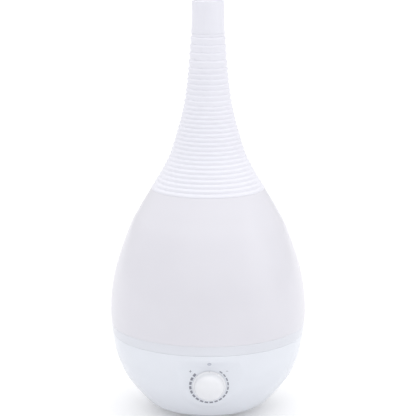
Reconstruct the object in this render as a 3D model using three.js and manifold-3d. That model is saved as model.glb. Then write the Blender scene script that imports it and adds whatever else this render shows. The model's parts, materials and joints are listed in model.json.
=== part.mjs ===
// Cool mist humidifier: a drop-shaped appliance with a base, a lift-off water tank and a ribbed mist neck.
// Millimetres, +Z up, front towards -Y, origin on the floor at the drop's axis.
import * as THREE from "three";
import { mergeVertices } from "three/addons/utils/BufferGeometryUtils.js";
import Module from "manifold-3d";

const wasm = await Module();
wasm.setup();

// ---------- driving dimensions ----------

// Outline of the drop as radius, height. A smooth curve runs through these points.
const DROP = [
  [39.8, 0],
  [53.4, 5],
  [65.7, 12],
  [85.9, 36],
  [94.1, 52],
  [99.6, 70],
  [103.8, 108],
  [99.0, 150],
  [84.2, 195],
  [72.6, 218],
  [59.5, 240],
  [46.5, 262],
  [36.6, 285],
  [24.0, 335],
  [17.7, 400],
  [16.8, 436.5],
];
const OVERALL_HEIGHT = 436.5;
const WIDEST_HEIGHT = 108;
const GAP = 0.3; // clearance between two parts that meet

const BASE_WALL = 2.5;
const BASE_BOTTOM = 1.5;
const BASE_TOP = 84.7;
const LEDGE_LOW = 5.0; // the base cover fits below this ledge
const LEDGE_HIGH = 7.5;
const LEDGE_INNER_R = 34.0;
const COVER_R = 41.0;
const COVER_LOW = 2.0;
const COVER_HIGH = 4.7;

const BASIN_RIM_LOW = 85.0;
const BASIN_RIM_HIGH = 95.0;
const BASIN_FLOOR_LOW = 62.0;
const BASIN_FLOOR_HIGH = 64.5;
const BASIN_FLOOR_R = 77.0;
const PAN_EDGE_R = 84.6; // the basin pan hangs from the inner edge of its rim
const CHIMNEY_INNER_R = 8.0;
const CHIMNEY_OUTER_R = 10.0;
const CHIMNEY_TOP = 86.0;

const TANK_LOW = 95.3;
const TANK_HIGH = 239.6;
const TANK_WALL = 2.2;
const ROOF_UNDER = 237.0;
const COLLAR_OUTER_R = 52.3;
const COLLAR_TOP = 245.5;
const PLATE_LOW = 96.0; // the tank's bottom plate
const PLATE_HIGH = 98.5;
const TUBE_R = 20.0; // mist tube through the tank
const TUBE_INNER_R = 18.2;
const TUBE_TOP = 250.0;
const BELL_R = 33.0; // skirt that gathers the mist above the transducer
const BELL_INNER_R = 31.0;
const BELL_LOW = 72.0;

const NECK_LOW = 239.9;
const NECK_HIGH = 403.0;
const NECK_WALL = 2.4;
const FIRST_RIB = 399.7; // height of the top of the highest rib's shoulder
const RIB_RUNS = [
  { ribs: 4, pitch: 7.95 },
  { ribs: 7, pitch: 5.53 },
  { ribs: 19, pitch: 4.51 },
];
const RIB_SHOULDER = 1.1; // height of a rib's sloping shoulder
const RIB_PROUD = 0.35;
const RIB_ROOT = 0.25;

const NOZZLE_LOW = 403.3;
const SPIGOT_R = 14.8;
const SPIGOT_LOW = 394.0;
const NOZZLE_BORE_R = 14.6;
const OUTLET_R = 8.5;

const DIAL_TILT = 12; // degrees the dial's face leans below the horizontal
const DIAL_CENTRE = [0, -89.9, 50.5];
const DIAL_FLAT_R = 22.5;
const DIAL_FLARE_R = 42.8; // the flare round the face, about 40 degrees steep
const DIAL_FLARE_RISE = 17.0;
const DIAL_WALL = 3.0;
const DIAL_PAD_BACK = 6.5; // the pad below the shaft reaches back to the sloping shell
const LENS_UP = 26.4; // indicator lens above the shaft, along the dial's face
const LENS_R = 1.9;

const KNOB_R = 14.9;
const KNOB_SKIRT_R = 17.2;
const KNOB_DEPTH = 14.0;
const SHAFT_R = 3.0;
const BUSHING_R = 4.0;

const WELL = [0, -14]; // ultrasonic transducer
const WELL_OUTER_R = 14.5;
const WELL_INNER_R = 12.0;
const WELL_LOW = 54.0;
const WELL_SEAT = 56.5;
const WELL_HOLE_R = 8.3; // the disc sends its sound up through this hole
const HOLDER_SCREW_X = 18;
const DISC_R = 9.7;
const CHIMNEY = [0, 14]; // fan and air chimney
const FAN_LOW = 7.8;
const FAN_HIGH = 22.8;
const FAN_SIDE = 50;
const FAN_BORE_R = 23;
const POST_RADIUS = 37.6; // circle of the three posts and cover screws
const POST_ANGLES = [-90, 30, 150];
const SCREW_HOLE_R = 1.8;
const FOOT_RADIUS = 33.0;
const FOOT_ANGLES = [45, 135, 225, 315];
const FOOT_R = 6.0;
const FOOT_HIGH = 1.7;

const CAP = [-45.05, -31.55]; // filler cap and valve
const CAP_R = 20.5;
const CAP_LOW = 73.5;
const CAP_FLOOR = 76.0;
const CAP_HIGH = 90.0;
const CAP_COLLAR_R = 17.0;
const CAP_COLLAR_INNER_R = 14.5;
const CAP_COLLAR_LOW = 78.0;
const VALVE_LIFTER_TOP = 70.0;
const SPRING_LOW = 83.8;
const SPRING_HIGH = 88.2;

const FLOAT = [46, -36];
const FLOAT_R = 9.0;
const FLOAT_LOW = 66.0;
const FLOAT_HIGH = 76.0;

const BOARD_LOW = 36.0;
const BOARD_HIGH = 37.6;
const BOARD_POSTS = [
  [-60, -12],
  [-60, 18],
];
const JACK_HEIGHT = 26.0;

const FINE = 32; // segments of the large round parts
const NECK_SEGMENTS = 20;
const MEDIUM = 20;
const SMALL = 16;
const TINY = 10;

// ---------- solids from three.js geometry ----------

function solid(geometry) {
  const bare = geometry.index ? geometry.toNonIndexed() : geometry.clone();
  bare.deleteAttribute("normal");
  bare.deleteAttribute("uv");
  const merged = mergeVertices(bare, 1e-4);
  const index = merged.index.array;
  const triangles = [];
  for (let i = 0; i < index.length; i += 3) {
    const [a, b, c] = [index[i], index[i + 1], index[i + 2]];
    if (a !== b && b !== c && c !== a) triangles.push(a, b, c);
  }
  return new wasm.Manifold(
    new wasm.Mesh({
      numProp: 3,
      vertProperties: merged.attributes.position.array,
      triVerts: new Uint32Array(triangles),
    }),
  );
}

// Turns an outline of [radius, height] about +Z. It runs anticlockwise and is closed if it misses the axis.
function turned(outline, segments) {
  const points = outline.map(([r, z]) => new THREE.Vector2(r, z));
  if (outline[0][0] > 0) points.push(points[0].clone());
  return solid(new THREE.LatheGeometry(points, segments).rotateX(Math.PI / 2));
}

function cylinder(r, low, high, segments, [x, y] = [0, 0]) {
  const outline = [
    [0, low],
    [r, low],
    [r, high],
    [0, high],
  ];
  return turned(outline, segments).translate([x, y, 0]);
}

function ring(inner, outer, low, high, segments, [x, y] = [0, 0]) {
  const outline = [
    [inner, low],
    [outer, low],
    [outer, high],
    [inner, high],
  ];
  return turned(outline, segments).translate([x, y, 0]);
}

function box(low, high) {
  const size = low.map((v, i) => high[i] - v);
  const middle = low.map((v, i) => (high[i] + v) / 2);
  return solid(new THREE.BoxGeometry(...size)).translate(middle);
}

function polar(radius, degrees) {
  const a = THREE.MathUtils.degToRad(degrees);
  return [radius * Math.cos(a), radius * Math.sin(a)];
}

// Moves a solid built about +Z to the dial: its +Z becomes the dial's outward normal and its +Y points up.
function onDial(part) {
  return part.rotate([90 + DIAL_TILT, 0, 0]).translate(DIAL_CENTRE);
}

// ---------- the drop's outline ----------

const dropCurve = new THREE.SplineCurve(
  DROP.map(([r, z]) => new THREE.Vector2(r, z)),
);

// The point at a curve parameter, moved inwards by a wall thickness.
function dropPoint(t, wall) {
  const p = dropCurve.getPoint(t);
  const along = dropCurve.getTangent(t);
  return [p.x - along.y * wall, p.y + along.x * wall];
}

function parameterAt(height, wall) {
  let low = 0;
  let high = 1;
  for (let step = 0; step < 40; step++) {
    const middle = (low + high) / 2;
    if (dropPoint(middle, wall)[1] < height) low = middle;
    else high = middle;
  }
  return (low + high) / 2;
}

function dropRadius(height, wall = 0) {
  return dropPoint(parameterAt(height, wall), wall)[0];
}

// Outline points of the drop from one height to another, up or down, at a wall thickness.
function dropOutline(from, to, steps, wall = 0) {
  const start = parameterAt(from, wall);
  const end = parameterAt(to, wall);
  const points = [];
  for (let i = 0; i <= steps; i++)
    points.push(dropPoint(start + ((end - start) * i) / steps, wall));
  points[0][1] = from;
  points[steps][1] = to;
  return points;
}

// ---------- base ----------

function baseShell() {
  const wallRing = turned(
    [
      [COVER_R + 0.4, BASE_BOTTOM],
      ...dropOutline(BASE_BOTTOM, BASE_TOP, 8),
      ...dropOutline(BASE_TOP, LEDGE_HIGH, 7, BASE_WALL),
      [LEDGE_INNER_R, LEDGE_HIGH],
      [LEDGE_INNER_R, LEDGE_LOW],
      [COVER_R + 0.4, LEDGE_LOW],
    ],
    FINE,
  );
  const drop = turned(
    [[0, BASE_BOTTOM], ...dropOutline(BASE_BOTTOM, BASE_TOP, 8), [0, BASE_TOP]],
    FINE,
  );
  // Everything in front of the dial's flat face and flare is cut away.
  const dish = onDial(
    turned(
      [
        [0, 0],
        [DIAL_FLAT_R, 0],
        [DIAL_FLARE_R, DIAL_FLARE_RISE],
        [0, DIAL_FLARE_RISE],
      ],
      MEDIUM,
    ),
  );
  const bowl = onDial(
    turned(
      [
        [0, -DIAL_WALL],
        [DIAL_FLAT_R + 0.9, -DIAL_WALL],
        [DIAL_FLARE_R + 2.8, DIAL_FLARE_RISE - 1.4],
        [DIAL_FLARE_R, DIAL_FLARE_RISE],
        [DIAL_FLAT_R, 0],
        [0, 0],
      ],
      MEDIUM,
    ),
  ).intersect(drop);
  // Below the shaft the flat face stands proud of the shell on a sloping pad.
  const pad = turned(
    [
      [0, -DIAL_PAD_BACK],
      [DIAL_FLAT_R + DIAL_PAD_BACK, -DIAL_PAD_BACK],
      [DIAL_FLAT_R, 0],
      [0, 0],
    ],
    MEDIUM,
  ).intersect(box([-40, -40, -10], [40, 1, 10]));
  let shell = wallRing.subtract(dish).add(bowl).add(onDial(pad));
  shell = shell.subtract(
    onDial(cylinder(BUSHING_R + 0.4, -12, 12, SMALL)),
  );
  shell = shell.subtract(
    onDial(cylinder(LENS_R + GAP, -6, 8, TINY, [0, LENS_UP])),
  );
  for (const [x, y] of BOARD_POSTS) {
    shell = shell.add(cylinder(2.8, 12.8, BOARD_LOW - GAP, TINY, [x, y]));
    shell = shell.subtract(cylinder(1.3, 26, BOARD_LOW, TINY, [x, y]));
  }
  for (const angle of POST_ANGLES) {
    const at = polar(POST_RADIUS, angle);
    shell = shell.subtract(cylinder(SCREW_HOLE_R, 4, 9, TINY, at));
  }
  const jackHole = cylinder(5.5, 60, 95, SMALL)
    .rotate([-90, 0, 0])
    .translate([0, 0, JACK_HEIGHT]);
  return shell.subtract(jackHole);
}

function baseCover() {
  let cover = cylinder(COVER_R, COVER_LOW, COVER_HIGH, MEDIUM);
  const slotHalfWidth = 1.3;
  const fieldR = 20;
  for (let i = -3; i <= 3; i++) {
    const x = i * 6;
    const half = Math.sqrt(fieldR ** 2 - x ** 2);
    const slot = box([x - slotHalfWidth, 10 - half, 0], [x + slotHalfWidth, 10 + half, 9]);
    cover = cover.subtract(slot);
  }
  for (const angle of POST_ANGLES) {
    const at = polar(POST_RADIUS, angle);
    cover = cover.subtract(cylinder(SCREW_HOLE_R, 0, 9, TINY, at));
  }
  return cover;
}

function foot(at) {
  const outline = [
    [0, 0],
    [FOOT_R - 0.5, 0],
    [FOOT_R, 0.5],
    [FOOT_R, FOOT_HIGH],
    [0, FOOT_HIGH],
  ];
  return turned(outline, TINY).translate([...at, 0]);
}

// A pan-head screw that points up. Its head starts at the height low and its shank ends at the height top.
function screw(at, low, headR, headHigh, shankR, top) {
  const outline = [
    [0, low],
    [headR, low],
    [headR, low + headHigh],
    [shankR, low + headHigh],
    [shankR, top],
    [0, top],
  ];
  return turned(outline, 10).translate([...at, 0]);
}

function waterBasin() {
  let basin = turned(
    [
      [0, BASIN_FLOOR_LOW],
      [BASIN_FLOOR_R, BASIN_FLOOR_LOW],
      [PAN_EDGE_R, 79.1],
      [PAN_EDGE_R, 83],
      [PAN_EDGE_R - 1.6, 83],
      [BASIN_FLOOR_R - 2, BASIN_FLOOR_HIGH],
      [0, BASIN_FLOOR_HIGH],
    ],
    FINE,
  );
  const pilotHoles = [];
  for (const angle of POST_ANGLES) {
    const at = polar(POST_RADIUS, angle);
    basin = basin.add(cylinder(4, LEDGE_HIGH + GAP, 63, TINY, at));
    pilotHoles.push(cylinder(1.6, 7, 17, TINY, at));
  }
  for (const side of [-1, 1]) {
    const at = [side * HOLDER_SCREW_X, WELL[1]];
    basin = basin.add(cylinder(3, 51, 63, TINY, at));
    pilotHoles.push(cylinder(1.3, 50, 58, TINY, at));
  }
  basin = basin.add(cylinder(WELL_OUTER_R, WELL_LOW, 63, MEDIUM, WELL));
  basin = basin.subtract(cylinder(WELL_INNER_R, WELL_SEAT, 70, MEDIUM, WELL));
  basin = basin.subtract(cylinder(WELL_HOLE_R, 50, 60, MEDIUM, WELL));
  // The stub below the filler cap pushes the valve open when the tank is set down.
  basin = basin.add(cylinder(4, 64, VALVE_LIFTER_TOP, TINY, CAP));
  basin = basin.subtract(cylinder(CHIMNEY_INNER_R, 50, 90, MEDIUM, CHIMNEY));
  for (const hole of pilotHoles) basin = basin.subtract(hole);
  return basin;
}

// The band between the base shell and the tank, with the sloping flange that carries the basin pan.
function basinRim() {
  return turned(
    [
      [PAN_EDGE_R + GAP, 80.1],
      [97, 83],
      [98.7, 84],
      [98.7, BASIN_RIM_LOW],
      ...dropOutline(BASIN_RIM_LOW, BASIN_RIM_HIGH, 2),
      [98.5, BASIN_RIM_HIGH],
      [96, 86],
      [PAN_EDGE_R + GAP, 83.3],
    ],
    FINE,
  );
}

function transducerSeal() {
  const outline = [
    [WELL_HOLE_R, 50.8],
    [WELL_INNER_R, 50.8],
    [WELL_INNER_R, 53.7],
    [WELL_HOLE_R, 53.7],
    [WELL_HOLE_R, 53.4],
    [DISC_R + GAP, 53.4],
    [DISC_R + GAP, 51.6],
    [WELL_HOLE_R, 51.6],
  ];
  return turned(outline, SMALL).translate([...WELL, 0]);
}

function transducerHolder() {
  const outline = new THREE.Shape();
  const earR = 3.6;
  outline.absarc(-HOLDER_SCREW_X, 0, earR, Math.PI / 2, (3 * Math.PI) / 2);
  outline.lineTo(-9, -9.5);
  outline.lineTo(9, -9.5);
  outline.absarc(HOLDER_SCREW_X, 0, earR, -Math.PI / 2, Math.PI / 2);
  outline.lineTo(9, 9.5);
  outline.lineTo(-9, 9.5);
  for (const side of [-1, 1]) {
    const hole = new THREE.Path();
    hole.absarc(side * HOLDER_SCREW_X, 0, 1.4, 0, 2 * Math.PI, true);
    outline.holes.push(hole);
  }
  const middle = new THREE.Path();
  middle.absarc(0, 0, 7.5, 0, 2 * Math.PI, true);
  outline.holes.push(middle);
  const plate = new THREE.ExtrudeGeometry(outline, {
    depth: 2.3,
    bevelEnabled: false,
    curveSegments: 6,
  });
  return solid(plate).translate([...WELL, 48.2]);
}

// ---------- air path ----------

function fanHousing() {
  const half = FAN_SIDE / 2;
  const corner = 3;
  const frame = new THREE.Shape();
  frame.absarc(half - corner, half - corner, corner, 0, Math.PI / 2);
  frame.absarc(corner - half, half - corner, corner, Math.PI / 2, Math.PI);
  frame.absarc(corner - half, corner - half, corner, Math.PI, 1.5 * Math.PI);
  frame.absarc(half - corner, corner - half, corner, 1.5 * Math.PI, 2 * Math.PI);
  const body = solid(
    new THREE.ExtrudeGeometry(frame, {
      depth: FAN_HIGH - FAN_LOW,
      bevelEnabled: false,
      curveSegments: 2,
    }),
  ).translate([...CHIMNEY, FAN_LOW]);
  let housing = body.subtract(cylinder(FAN_BORE_R, 0, 30, MEDIUM, CHIMNEY));
  housing = housing.add(cylinder(9, FAN_LOW, 9.8, SMALL, CHIMNEY));
  for (let i = 0; i < 3; i++) {
    const arm = box([8, -1.5, FAN_LOW], [FAN_BORE_R + 1, 1.5, 9.8]);
    housing = housing.add(arm.rotate([0, 0, 90 + 120 * i]).translate([...CHIMNEY, 0]));
  }
  return housing;
}

function fanRotor() {
  let rotor = turned(
    [
      [0, 10.3],
      [10, 10.3],
      [10, 20.8],
      [8.8, 22],
      [0, 22],
    ],
    SMALL,
  );
  const blades = 7;
  for (let i = 0; i < blades; i++) {
    const blade = box([9, -0.7, -5.4], [22, 0.7, 5.4])
      .rotate([36, 0, 0])
      .translate([0, 0, 16]);
    rotor = rotor.add(blade.rotate([0, 0, (360 * i) / blades]));
  }
  return rotor.translate([...CHIMNEY, 0]);
}

function airDuct() {
  const outline = [
    [22.8, FAN_HIGH + GAP],
    [24.8, FAN_HIGH + GAP],
    [24.8, 25],
    [7.6, 42],
    [7.6, 66],
    [6.2, 66],
    [6.2, 41.4],
    [22.8, 24.6],
  ];
  return turned(outline, SMALL).translate([...CHIMNEY, 0]);
}

// ---------- electronics ----------

function driverBoard() {
  let board = box([-76, -20, BOARD_LOW], [-44, 25, BOARD_HIGH]);
  for (const at of BOARD_POSTS) board = board.subtract(cylinder(1.6, 30, 40, TINY, at));
  return board;
}

function heatsink() {
  const outline = new THREE.Shape();
  const fins = 4;
  const pitch = 4;
  const width = fins * pitch - 2;
  outline.moveTo(0, 0);
  outline.lineTo(width, 0);
  for (let i = fins - 1; i >= 0; i--) {
    outline.lineTo(i * pitch + 2, 14);
    outline.lineTo(i * pitch, 14);
    if (i > 0) outline.lineTo(i * pitch, 3);
    if (i > 0) outline.lineTo(i * pitch - 2, 3);
  }
  const fin = new THREE.ExtrudeGeometry(outline, { depth: 18, bevelEnabled: false });
  return solid(fin.rotateX(Math.PI / 2)).translate([-74, 12, BOARD_HIGH + GAP]);
}

function dcJack() {
  const body = box([-7, 56, -6], [7, 67, 6]);
  const barrel = cylinder(5.1, 66, 78.3, SMALL).rotate([-90, 0, 0]);
  const bore = cylinder(3.2, 69, 80, SMALL).rotate([-90, 0, 0]);
  const pin = cylinder(1, 68, 77, 8).rotate([-90, 0, 0]);
  return body.add(barrel).subtract(bore).add(pin).translate([0, 0, JACK_HEIGHT]);
}

// A round insulated lead that runs through the given points.
function lead(points) {
  const wireR = 1.2;
  const path = new THREE.CatmullRomCurve3(points.map((p) => new THREE.Vector3(...p)));
  const section = new THREE.Shape();
  section.absarc(0, 0, wireR, 0, 2 * Math.PI);
  return solid(
    new THREE.ExtrudeGeometry(section, {
      steps: 7,
      curveSegments: 2.5,
      extrudePath: path,
    }),
  );
}

// ---------- dial ----------

function potentiometer() {
  const outline = [
    [0, -15.8],
    [8, -15.8],
    [8, -6.8],
    [BUSHING_R, -6.8],
    [BUSHING_R, 3.3],
    [SHAFT_R + 0.25, 3.3],
    [SHAFT_R + 0.25, -10],
    [0, -10],
  ];
  return onDial(turned(outline, SMALL));
}

function hexNut() {
  const bore = cylinder(BUSHING_R + 0.3, 0, 3, SMALL);
  return cylinder(6.4, 0.3, 2.6, 6).subtract(bore);
}

function dialKnob() {
  const dome = [];
  const steps = 5;
  const shoulder = 2.2;
  for (let i = 0; i < steps; i++) {
    const a = (Math.PI / 2) * (i / steps);
    dome.push([KNOB_R * Math.cos(a), shoulder + (KNOB_DEPTH - shoulder) * Math.sin(a)]);
  }
  const outline = [
    [0, 9.6],
    [SHAFT_R + GAP, 9.6],
    [SHAFT_R + GAP, 4.6],
    [11.5, 4.6],
    [11.5, 0.5],
    [KNOB_SKIRT_R, 0.5],
    [KNOB_SKIRT_R, 1.4],
    ...dome,
    [0, KNOB_DEPTH],
  ];
  return onDial(turned(outline, MEDIUM));
}

// ---------- float ----------

function floatRing() {
  return ring(2.6, FLOAT_R, FLOAT_LOW, FLOAT_HIGH, SMALL, FLOAT);
}

// The pin that guides the float; its head stops the float from lifting off.
function floatPin() {
  const outline = [
    [0, BASIN_FLOOR_HIGH + GAP],
    [2, BASIN_FLOOR_HIGH + GAP],
    [2, 88.5],
    [4.5, 88.5],
    [4.5, 90],
    [0, 90],
  ];
  return turned(outline, TINY).translate([...FLOAT, 0]);
}

// ---------- tank ----------

function tankShell() {
  return turned(
    [
      [dropRadius(TANK_LOW), TANK_LOW],
      ...dropOutline(WIDEST_HEIGHT, TANK_HIGH, 7),
      ...dropOutline(TANK_HIGH, TANK_LOW, 7, TANK_WALL),
    ],
    FINE,
  );
}

// The flat roof inside the top of the tank, with the collar that the neck fits over.
function tankRoof() {
  const edge = dropRadius(TANK_HIGH, TANK_WALL) - 0.5;
  return turned(
    [
      [TUBE_R + 0.4, ROOF_UNDER],
      [edge, ROOF_UNDER],
      [edge, TANK_HIGH],
      [COLLAR_OUTER_R, TANK_HIGH],
      [COLLAR_OUTER_R, COLLAR_TOP],
      [COLLAR_OUTER_R - 2, COLLAR_TOP],
      [COLLAR_OUTER_R - 2, TANK_HIGH],
      [TUBE_R + 0.4, TANK_HIGH],
    ],
    FINE,
  );
}

// Two bayonet lugs, each a sector of a ring, centred on the given angle and the one opposite.
function lugs(inner, outer, low, high, degrees) {
  const full = ring(inner, outer, low, high, MEDIUM);
  const bar = box([-40, -3.6, low - 1], [40, 3.6, high + 1]);
  return full.intersect(bar.rotate([0, 0, degrees])).translate([...CAP, 0]);
}

function tankBottom() {
  let bottom = turned(
    [
      [TUBE_INNER_R, PLATE_LOW],
      [93.3, PLATE_LOW],
      [93.3, 88],
      [95.3, 88],
      [95.3, PLATE_LOW],
      [dropRadius(PLATE_LOW, TANK_WALL) - 0.4, PLATE_LOW],
      [dropRadius(PLATE_HIGH, TANK_WALL) - 0.4, PLATE_HIGH],
      [TUBE_R + 2.4, PLATE_HIGH],
      [TUBE_R + 2.4, 104],
      [TUBE_R + 0.4, 104],
      [TUBE_R + 0.4, PLATE_HIGH],
      [TUBE_INNER_R, PLATE_HIGH],
    ],
    FINE,
  );
  bottom = bottom.add(cylinder(CAP_COLLAR_R, CAP_COLLAR_LOW, 97, MEDIUM, CAP));
  bottom = bottom.subtract(cylinder(CAP_COLLAR_INNER_R, 70, 110, MEDIUM, CAP));
  return bottom.add(lugs(CAP_COLLAR_R - 0.6, CAP_COLLAR_R + 1.2, 83.5, 85.5, 0));
}

function fillerCap() {
  const wallInner = 18.6;
  let cap = turned(
    [
      [5, CAP_LOW],
      [CAP_R - 0.8, CAP_LOW],
      [CAP_R, CAP_LOW + 0.8],
      [CAP_R, CAP_HIGH],
      [wallInner, CAP_HIGH],
      [wallInner, CAP_FLOOR],
      [11, CAP_FLOOR],
      [11, CAP_HIGH],
      [2.3, CAP_HIGH],
      [2.3, CAP_HIGH - 1.5],
      [9.6, CAP_HIGH - 1.5],
      [9.6, CAP_FLOOR],
      [5, CAP_FLOOR],
    ],
    MEDIUM,
  );
  // Windows in the cage let the water through to the valve.
  const window = box([-30, -3.5, CAP_FLOOR + 1], [30, 3.5, CAP_HIGH - 3]);
  const inside = cylinder(13, CAP_LOW, CAP_HIGH, TINY);
  for (const turn of [45, 135])
    cap = cap.subtract(window.rotate([0, 0, turn]).intersect(inside));
  return cap.translate([...CAP, 0]).add(lugs(17.7, 19.2, 86.5, 88.5, 0));
}

function valvePlunger() {
  const stemR = 1.8;
  const stemLow = VALVE_LIFTER_TOP + GAP;
  const outline = [
    [0, stemLow],
    [stemR, stemLow],
    [stemR, 81.8],
    [7.5, 81.8],
    [7.5, 83.5],
    [stemR, 83.5],
    [stemR, 94],
    [0, 94],
  ];
  return turned(outline, TINY).translate([...CAP, 0]);
}

function valveSpring() {
  const turns = 3;
  const coilR = 4.6;
  const wireR = 0.5;
  const rise = SPRING_HIGH - SPRING_LOW - 2 * wireR;
  class Helix extends THREE.Curve {
    getPoint(t, target = new THREE.Vector3()) {
      const a = 2 * Math.PI * turns * t;
      return target.set(
        CAP[0] + coilR * Math.cos(a),
        CAP[1] + coilR * Math.sin(a),
        SPRING_LOW + wireR + rise * t,
      );
    }
  }
  const section = new THREE.Shape();
  section.absarc(0, 0, wireR, 0, 2 * Math.PI);
  return solid(
    new THREE.ExtrudeGeometry(section, {
      steps: 10 * turns,
      curveSegments: 2,
      extrudePath: new Helix(),
    }),
  );
}

// ---------- neck and nozzle ----------

function ribHeights() {
  const heights = [FIRST_RIB];
  let z = FIRST_RIB;
  for (const { ribs, pitch } of RIB_RUNS)
    for (let i = 0; i < ribs; i++) {
      z -= pitch;
      heights.push(z);
    }
  return heights.reverse();
}

function mistNeck() {
  const ribbed = [];
  for (const z of ribHeights()) {
    const low = z - RIB_SHOULDER;
    ribbed.push([dropRadius(low) + RIB_PROUD, low]);
    ribbed.push([dropRadius(z) - RIB_ROOT, z]);
  }
  return turned(
    [
      [dropRadius(NECK_LOW), NECK_LOW],
      ...ribbed,
      [dropRadius(NECK_HIGH), NECK_HIGH],
      ...dropOutline(NECK_HIGH, NECK_LOW, 6, NECK_WALL),
    ],
    NECK_SEGMENTS,
  );
}

function mistNozzle() {
  const plateLow = 433.4;
  const plateHigh = 435;
  const body = turned(
    [
      [SPIGOT_R - 1.9, SPIGOT_LOW],
      [SPIGOT_R, SPIGOT_LOW],
      [SPIGOT_R, NOZZLE_LOW],
      ...dropOutline(NOZZLE_LOW, OVERALL_HEIGHT - 0.7, 2),
      [dropRadius(OVERALL_HEIGHT) - 0.7, OVERALL_HEIGHT],
      [NOZZLE_BORE_R, OVERALL_HEIGHT],
      [NOZZLE_BORE_R, plateHigh],
      [0, plateHigh],
      [0, plateLow],
      [NOZZLE_BORE_R, plateLow],
      [NOZZLE_BORE_R, 405.2],
      [SPIGOT_R - 1.9, 403.5],
    ],
    MEDIUM,
  );
  // The outlet is off centre, so turning the nozzle aims the mist.
  return body.subtract(cylinder(OUTLET_R, 425, 440, SMALL, [0, -4.5]));
}

// ---------- materials ----------

function paint(color, roughness, metalness = 0) {
  return new THREE.MeshStandardMaterial({ color, roughness, metalness, flatShading: true });
}

const WHITE = paint(0xeeeef4, 0.35);
const NECK_WHITE = paint(0xececf3, 0.4);
const BASE_WHITE = paint(0xe1e5ec, 0.3);
const KNOB_WHITE = paint(0xf4f5f8, 0.25);
const INNER_WHITE = paint(0xe6e8ec, 0.45);
const GREY_RUBBER = paint(0x9a9da3, 0.85);
const SILICONE = paint(0xd5d8dc, 0.7);
const BLACK_PLASTIC = paint(0x26282b, 0.5);
const BOARD_GREEN = paint(0x2c6a43, 0.55);
const STEEL = paint(0xb4b7bb, 0.3, 1);
const ALUMINIUM = paint(0xc2c5c9, 0.4, 1);
const COPPER = paint(0xb56a3c, 0.4, 1);
const CERAMIC = paint(0xd8d2b8, 0.35);
const LED_TINT = paint(0xb9c4d0, 0.2);
const LEAD_GREY = paint(0x6f747b, 0.6);

// ---------- assembly ----------

const humidifier = new THREE.Group();
humidifier.name = "cool_mist_humidifier";

function place(name, part, material) {
  const made = part.getMesh();
  const stride = made.numProp;
  const positions = new Float32Array(made.numVert * 3);
  for (let i = 0; i < made.numVert; i++)
    for (let k = 0; k < 3; k++)
      positions[i * 3 + k] = made.vertProperties[i * stride + k];
  const geometry = new THREE.BufferGeometry();
  geometry.setAttribute("position", new THREE.BufferAttribute(positions, 3));
  geometry.setIndex(new THREE.BufferAttribute(new Uint32Array(made.triVerts), 1));
  geometry.computeVertexNormals();
  const mesh = new THREE.Mesh(geometry, material);
  mesh.name = name;
  humidifier.add(mesh);
}

place("base_shell", baseShell(), BASE_WHITE);
place("base_cover", baseCover(), INNER_WHITE);
FOOT_ANGLES.forEach((angle, i) =>
  place(`foot_${i + 1}`, foot(polar(FOOT_RADIUS, angle)), GREY_RUBBER),
);
POST_ANGLES.forEach((angle, i) => {
  const at = polar(POST_RADIUS, angle);
  place(`cover_screw_${i + 1}`, screw(at, 0.6, 3, 1.1, 1.3, 15), STEEL);
});

place("water_basin", waterBasin(), BASE_WHITE);
place("basin_rim", basinRim(), BASE_WHITE);
place(
  "air_chimney",
  ring(CHIMNEY_INNER_R, CHIMNEY_OUTER_R, BASIN_FLOOR_HIGH + GAP, CHIMNEY_TOP, MEDIUM, CHIMNEY),
  BASE_WHITE,
);
place("transducer_disc", cylinder(DISC_R, 51.9, 53.1, SMALL, WELL), CERAMIC);
place("transducer_seal", transducerSeal(), SILICONE);
place("transducer_holder", transducerHolder(), INNER_WHITE);
[-HOLDER_SCREW_X, HOLDER_SCREW_X].forEach((x, i) =>
  place(`transducer_screw_${i + 1}`, screw([x, WELL[1]], 46.6, 2.6, 1.3, 1, 56), STEEL),
);

place("fan_housing", fanHousing(), BLACK_PLASTIC);
place("fan_rotor", fanRotor(), BLACK_PLASTIC);
place("air_duct", airDuct(), INNER_WHITE);

place("driver_board", driverBoard(), BOARD_GREEN);
BOARD_POSTS.forEach((at, i) => {
  const upsideDown = screw([at[0], -at[1]], -39.4, 2.6, 1.5, 1, -28);
  place(`board_screw_${i + 1}`, upsideDown.rotate([180, 0, 0]), STEEL);
});
place("heatsink", heatsink(), ALUMINIUM);
place("output_coil", ring(2.5, 5.5, 37.9, 44, TINY, [-52, -4]), COPPER);
place("board_capacitor", cylinder(4, 37.9, 50, TINY, [-51, 12]), BLACK_PLASTIC);
place("dc_jack", dcJack(), BLACK_PLASTIC);

place("potentiometer", potentiometer(), STEEL);
place("potentiometer_nut", onDial(hexNut()), STEEL);
place("knob_shaft", onDial(cylinder(SHAFT_R, -9.7, 9.3, SMALL)), ALUMINIUM);
place("dial_knob", dialKnob(), KNOB_WHITE);
place("indicator_lens", onDial(cylinder(LENS_R, -4, 3, TINY, [0, LENS_UP])), LED_TINT);
place("status_led", onDial(cylinder(2.2, -7.6, -4.3, TINY, [0, LENS_UP])), LED_TINT);

place(
  "fan_lead",
  lead([
    [-46, 4, 39.2],
    [-39, 6, 41],
    [-32, 7, 30],
    [-27, 8, 16],
  ]),
  LEAD_GREY,
);
place(
  "transducer_lead",
  lead([
    [-46, -12, 39.2],
    [-32, -14, 42],
    [-10, -14, 43.5],
    [0, -14, 50.2],
  ]),
  LEAD_GREY,
);
place(
  "dial_lead",
  lead([
    [-50, -17, 39.2],
    [-38, -45, 46],
    [-14, -67, 52],
    [-2, -72.7, 53.2],
  ]),
  LEAD_GREY,
);
place(
  "jack_lead",
  lead([
    [-53, 22, 39.2],
    [-44, 38, 36],
    [-22, 48, 28],
    [-3, 54.5, 26],
  ]),
  LEAD_GREY,
);

place("float_ring", floatRing(), INNER_WHITE);
place("float_pin", floatPin(), INNER_WHITE);

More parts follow.
